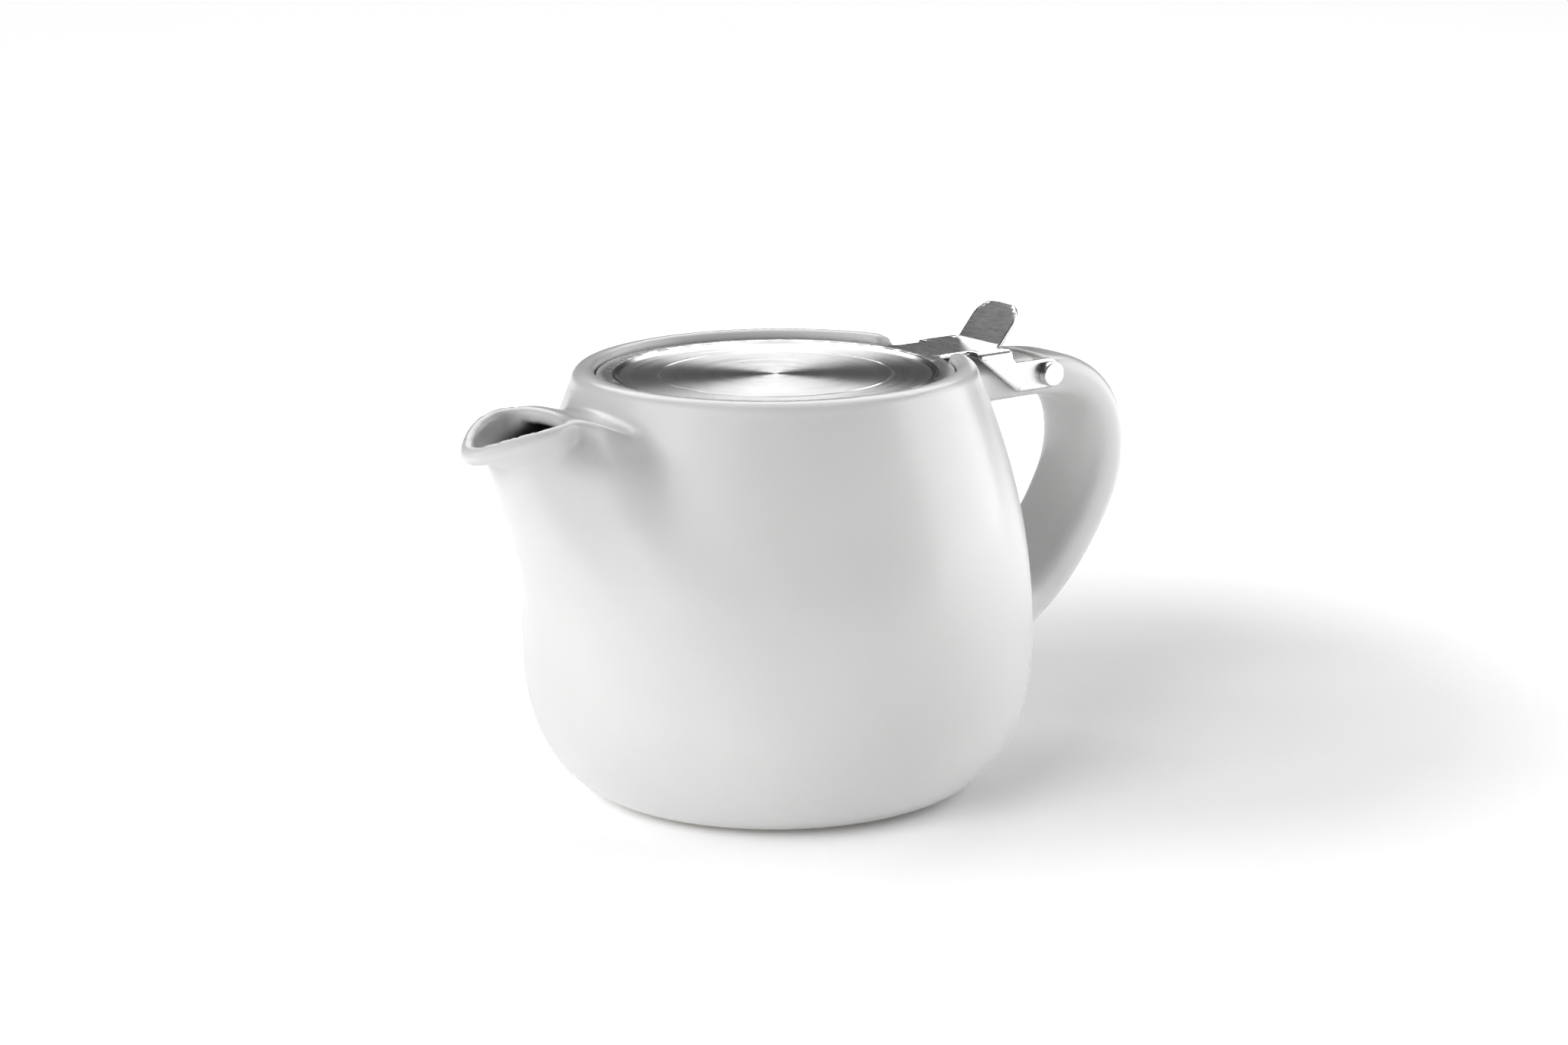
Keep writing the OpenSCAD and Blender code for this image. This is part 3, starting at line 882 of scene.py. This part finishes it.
def steel_spun(name, base, rough, aniso, bump_s):
    """Turned metal: fine rings about the Z axis."""
    m, nt, b = material(name)
    tc = add(nt, "ShaderNodeTexCoord").outputs["Object"]
    sep = add(nt, "ShaderNodeSeparateXYZ")
    nt.links.new(tc, sep.inputs[0])
    flat = add(nt, "ShaderNodeCombineXYZ")
    nt.links.new(sep.outputs[0], flat.inputs[0])
    nt.links.new(sep.outputs[1], flat.inputs[1])
    ln = add(nt, "ShaderNodeVectorMath", operation="LENGTH")
    nt.links.new(flat.outputs[0], ln.inputs[0])
    ang = math_node(nt, "ARCTAN2", sep.outputs[1], sep.outputs[0])
    vec = add(nt, "ShaderNodeCombineXYZ")
    nt.links.new(math_node(nt, "MULTIPLY", ln.outputs["Value"], 1.0), vec.inputs[0])
    nt.links.new(math_node(nt, "MULTIPLY", ang, 0.0006), vec.inputs[1])
    nt.links.new(math_node(nt, "MULTIPLY", sep.outputs[2], 1.0), vec.inputs[2])
    fine = noise_tex(nt, vec.outputs[0], 5200, 3, 0.7)
    wide = noise_tex(nt, vec.outputs[0], 900, 2, 0.6)
    mixv = math_node(nt, "ADD", math_node(nt, "MULTIPLY", fine, 0.65), math_node(nt, "MULTIPLY", wide, 0.35))
    col = ramp(nt, mixv, [(0.3, tuple(c * 0.86 for c in base)), (0.7, base)])
    nt.links.new(col, b.inputs["Base Color"])
    nt.links.new(ramp(nt, mixv, [(0.25, rough - 0.05), (0.75, rough + 0.07)]), b.inputs["Roughness"])
    nt.links.new(bump(nt, fine, bump_s, 0.00002), b.inputs["Normal"])
    b.inputs["Metallic"].default_value = 1.0
    b.inputs["Anisotropic"].default_value = aniso
    b.inputs["Anisotropic Rotation"].default_value = 0.25
    tg = add(nt, "ShaderNodeTangent", direction_type="RADIAL", axis="Z")
    nt.links.new(tg.outputs[0], b.inputs["Tangent"])
    return m


def steel_brushed(name, base, rough, aniso, along="Y", bump_s=0.25, uv=None):
    m, nt, b = material(name)
    if uv:
        vec0 = add(nt, "ShaderNodeUVMap", uv_map=uv).outputs[0]
    else:
        vec0 = add(nt, "ShaderNodeTexCoord").outputs["Object"]
    mp = add(nt, "ShaderNodeMapping")
    sc = {"Y": (1, 0.03, 1), "X": (0.03, 1, 1), "Z": (1, 1, 0.03)}[along]
    mp.inputs["Scale"].default_value = sc
    nt.links.new(vec0, mp.inputs["Vector"])
    k = 0.1 if uv else 1.0
    fine = noise_tex(nt, mp.outputs[0], 6500 * k, 3, 0.7)
    wide = noise_tex(nt, mp.outputs[0], 1400 * k, 2, 0.6)
    blot = noise_tex(nt, vec0, 90 * k, 2, 0.5)
    mixv = math_node(nt, "ADD", math_node(nt, "MULTIPLY", fine, 0.8), math_node(nt, "MULTIPLY", wide, 0.2))
    nt.links.new(ramp(nt, mixv, [(0.3, tuple(c * 0.82 for c in base)), (0.7, base)]), b.inputs["Base Color"])
    rr = math_node(nt, "ADD", ramp(nt, mixv, [(0.25, rough - 0.05), (0.75, rough + 0.06)]), math_node(nt, "MULTIPLY", math_node(nt, "SUBTRACT", blot, 0.5), 0.06))
    nt.links.new(rr, b.inputs["Roughness"])
    nt.links.new(bump(nt, mixv, bump_s, 0.00002), b.inputs["Normal"])
    b.inputs["Metallic"].default_value = 1.0
    b.inputs["Anisotropic"].default_value = aniso
    if uv:
        tg = add(nt, "ShaderNodeTangent", direction_type="UV_MAP", uv_map=uv)
        nt.links.new(tg.outputs[0], b.inputs["Tangent"])
    return m


def nylon():
    m, nt, b = material("bush_nylon")
    tc = add(nt, "ShaderNodeTexCoord").outputs["Object"]
    n = noise_tex(nt, tc, 600, 3)
    nt.links.new(ramp(nt, n, [(0.3, (0.74, 0.73, 0.68)), (0.7, (0.8, 0.79, 0.75))]), b.inputs["Base Color"])
    nt.links.new(ramp(nt, n, [(0.3, 0.42), (0.7, 0.55)]), b.inputs["Roughness"])
    nt.links.new(bump(nt, n, 0.2, 0.00003), b.inputs["Normal"])
    return m


M_GLAZE = glaze()
M_DISC = steel_spun("spun_steel", (0.90, 0.90, 0.90), 0.30, 0.85, 0.24)
# painted shade: a darker copy of the disc's steel for its rolled edge and step; the smoother, unbrushed finish is the
# edge's own
M_SHADED_EDGE = steel_spun("rolled_edge_painted_shade_steel", (0.50, 0.50, 0.50), 0.20, 0.0, 0.08)
M_PLATE = steel_brushed("stamped_steel", (0.78, 0.78, 0.78), 0.27, 0.6, "Y", 0.10, uv="grain")
M_INNER = steel_spun("drawn_steel", (0.66, 0.66, 0.66), 0.32, 0.5, 0.2)
M_PIN = steel_brushed("pin_steel", (0.86, 0.86, 0.86), 0.28, 0.3, "X", 0.2)
M_SIEVE = steel_brushed("sieve_steel", (0.6, 0.6, 0.6), 0.34, 0.3, "Z", 0.2)
M_NYLON = nylon()


def dress(ob, mat, body, slot, *nodes):
    ob.data.materials.clear()
    ob.data.materials.append(mat)
    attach(ob, body)
    if nodes:
        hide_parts(*nodes)


dress(pot, M_GLAZE, "pot", "glazed_ceramic", "pot_base", "pot_body", "pot_rim", "spout", "handle")
dress(plate, M_PLATE, "lid", "lid_steel", "lid_plate")
dress(seat, M_INNER, "lid", "lid_steel")
dress(disc, M_DISC, "lid", "lid_disc_steel", "lid_disc")
# the rolled edge and step of the disc take the darker copy of its steel, painted shade for the dark ring at the step
disc.data.materials.append(M_SHADED_EDGE)
for f in disc.data.polygons:
    if f.center.z > LID_Z * MM - 0.0015 and math.hypot(f.center.x, f.center.y) > 0.0348:
        f.material_index = 1
dress(skirt, M_INNER, "lid", "inner_steel", "lid_skirt")
dress(pin, M_PIN, "lid", "pin_steel", "hinge_pin")
dress(cap, M_PIN, "lid", "pin_steel", "pin_cap")
dress(bushes[0], M_NYLON, "pot", "bush_nylon", "hinge_bushes")
dress(bushes[1], M_NYLON, "pot", "bush_nylon")
dress(rim, M_INNER, "basket", "inner_steel", "basket_rim")
dress(sieve, M_SIEVE, "basket", "basket_steel", "basket_wall")
dress(sieve_base, M_SIEVE, "basket", "basket_steel", "basket_base")
dress(hub, M_INNER, "basket", "basket_steel")
dress(border, M_INNER, "basket", "basket_steel")

# ---------------------------------------------------------------- floor, light and camera
def floor_material():
    m, nt, b = material("pale_floor")
    tc = add(nt, "ShaderNodeTexCoord").outputs["Object"]
    n = noise_tex(nt, tc, 3, 3)
    nt.links.new(ramp(nt, n, [(0.3, 0.955), (0.7, 0.97)]), b.inputs["Base Color"])
    b.inputs["Roughness"].default_value = 0.6
    b.inputs["Specular IOR Level"].default_value = 0.2
    # painted light: the floor glows by its own emission, with no lamp beneath it, and glows less around the pot's
    # shadow side, a painted shadow that deepens the cast shadow there
    mp = add(nt, "ShaderNodeMapping")
    mp.inputs["Location"].default_value = (-0.10, 0.0, 0)
    nt.links.new(tc, mp.inputs["Vector"])
    ln = add(nt, "ShaderNodeVectorMath", operation="LENGTH")
    nt.links.new(mp.outputs[0], ln.inputs[0])
    b.inputs["Emission Color"].default_value = (1, 1, 1, 1)
    nt.links.new(ramp(nt, ln.outputs["Value"], [(0.08, 0.06), (0.24, 0.40)]), b.inputs["Emission Strength"])
    return m


bpy.ops.mesh.primitive_grid_add(x_subdivisions=4, y_subdivisions=4, size=14, location=(0, 0, -0.0002))
floor = bpy.context.object
floor.name = "floor"
floor.data.materials.append(floor_material())

AZ = math.radians(-35)
FWD = Vector((math.sin(-AZ), math.cos(-AZ), 0))
RIGHT = Vector((math.cos(-AZ), -math.sin(-AZ), 0))


def area(name, pos, target, size, power, size_y=None, color=(1, 1, 1)):
    L = bpy.data.lights.new(name, "AREA")
    L.shape = "RECTANGLE"
    L.size = size
    L.size_y = size_y or size
    L.energy = power
    L.color = color
    ob = bpy.data.objects.new(name, L)
    bpy.context.scene.collection.objects.link(ob)
    ob.location = pos
    ob.rotation_euler = (Vector(target) - Vector(pos)).to_track_quat("-Z", "Y").to_euler()
    ob.visible_camera = False
    return ob


C = Vector((0, 0, 0.05))


def towards(phi, el):
    """Direction of a lamp seen from the pot: phi from the camera's side round to the right, el above the floor."""
    p, e = math.radians(phi), math.radians(el)
    return (-FWD * math.cos(p) + RIGHT * math.sin(p)) * math.cos(e) + Vector((0, 0, math.sin(e)))


def far_soft(name, phi, el, strength, spread=36):
    """A very large, distant diffuser."""
    L = bpy.data.lights.new(name, "SUN")
    L.angle = math.radians(spread)
    L.energy = strength
    ob = bpy.data.objects.new(name, L)
    bpy.context.scene.collection.objects.link(ob)
    ob.rotation_euler = (-towards(phi, el)).to_track_quat("-Z", "Y").to_euler()
    return ob


far_soft("front_left_soft", -38, 30, 1.11).visible_glossy = False
far_soft("front_left_high", -40, 60, 0.12)
far_soft("left_soft", -70, 30, 0.38)
far_soft("side_soft", -98, 32, 0.36).visible_glossy = False
far_soft("back_left_soft", -130, 30, 0.20).visible_glossy = False
far_soft("back_high", 180, 60, 0.34).visible_glossy = False
area("right_panel", C + towards(102, 20) * 1.0, C, 1.05, 6.2, 0.8)
# cards that only show in the gloss of the lid
card = area("back_card", C + towards(180, 50) * 1.3, C, 1.6, 11.5, 0.85)
card.visible_diffuse = False
card = area("over_card", C + towards(180, 84) * 1.3, C, 1.1, 3.0, 0.6)
card.visible_diffuse = False

world = bpy.data.worlds.new("studio")
bpy.context.scene.world = world
world.use_nodes = True
bg = world.node_tree.nodes["Background"]
bg.inputs["Color"].default_value = (1, 1, 1, 1)
bg.inputs["Strength"].default_value = 0.19

cam = bpy.data.cameras.new("camera")
cam.sensor_width = 36
cam.lens = 5000 / 2048 * 36
camo = bpy.data.objects.new("camera", cam)
bpy.context.scene.collection.objects.link(camo)
D, H, PITCH, ROLL = 0.836, 0.258, math.radians(13.33), math.radians(-0.44)
pos = -FWD * D + Vector((0, 0, H))
fwd = (FWD * math.cos(PITCH) - Vector((0, 0, math.sin(PITCH)))).normalized()
up0 = (FWD * math.sin(PITCH) + Vector((0, 0, math.cos(PITCH)))).normalized()
rgt = RIGHT * math.cos(ROLL) + up0 * math.sin(ROLL)
up = up0 * math.cos(ROLL) - RIGHT * math.sin(ROLL)
Mx = Matrix(((rgt.x, up.x, -fwd.x), (rgt.y, up.y, -fwd.y), (rgt.z, up.z, -fwd.z)))
camo.matrix_world = Matrix.Translation(pos) @ Mx.to_4x4()
cam.shift_x = 9.7 / 2048
cam.dof.use_dof = False
cam.clip_start = 0.01
bpy.context.scene.camera = camo

vs_ = bpy.context.scene.view_settings
vs_.view_transform = "Standard"
vs_.look = "None"
vs_.gamma = 0.6
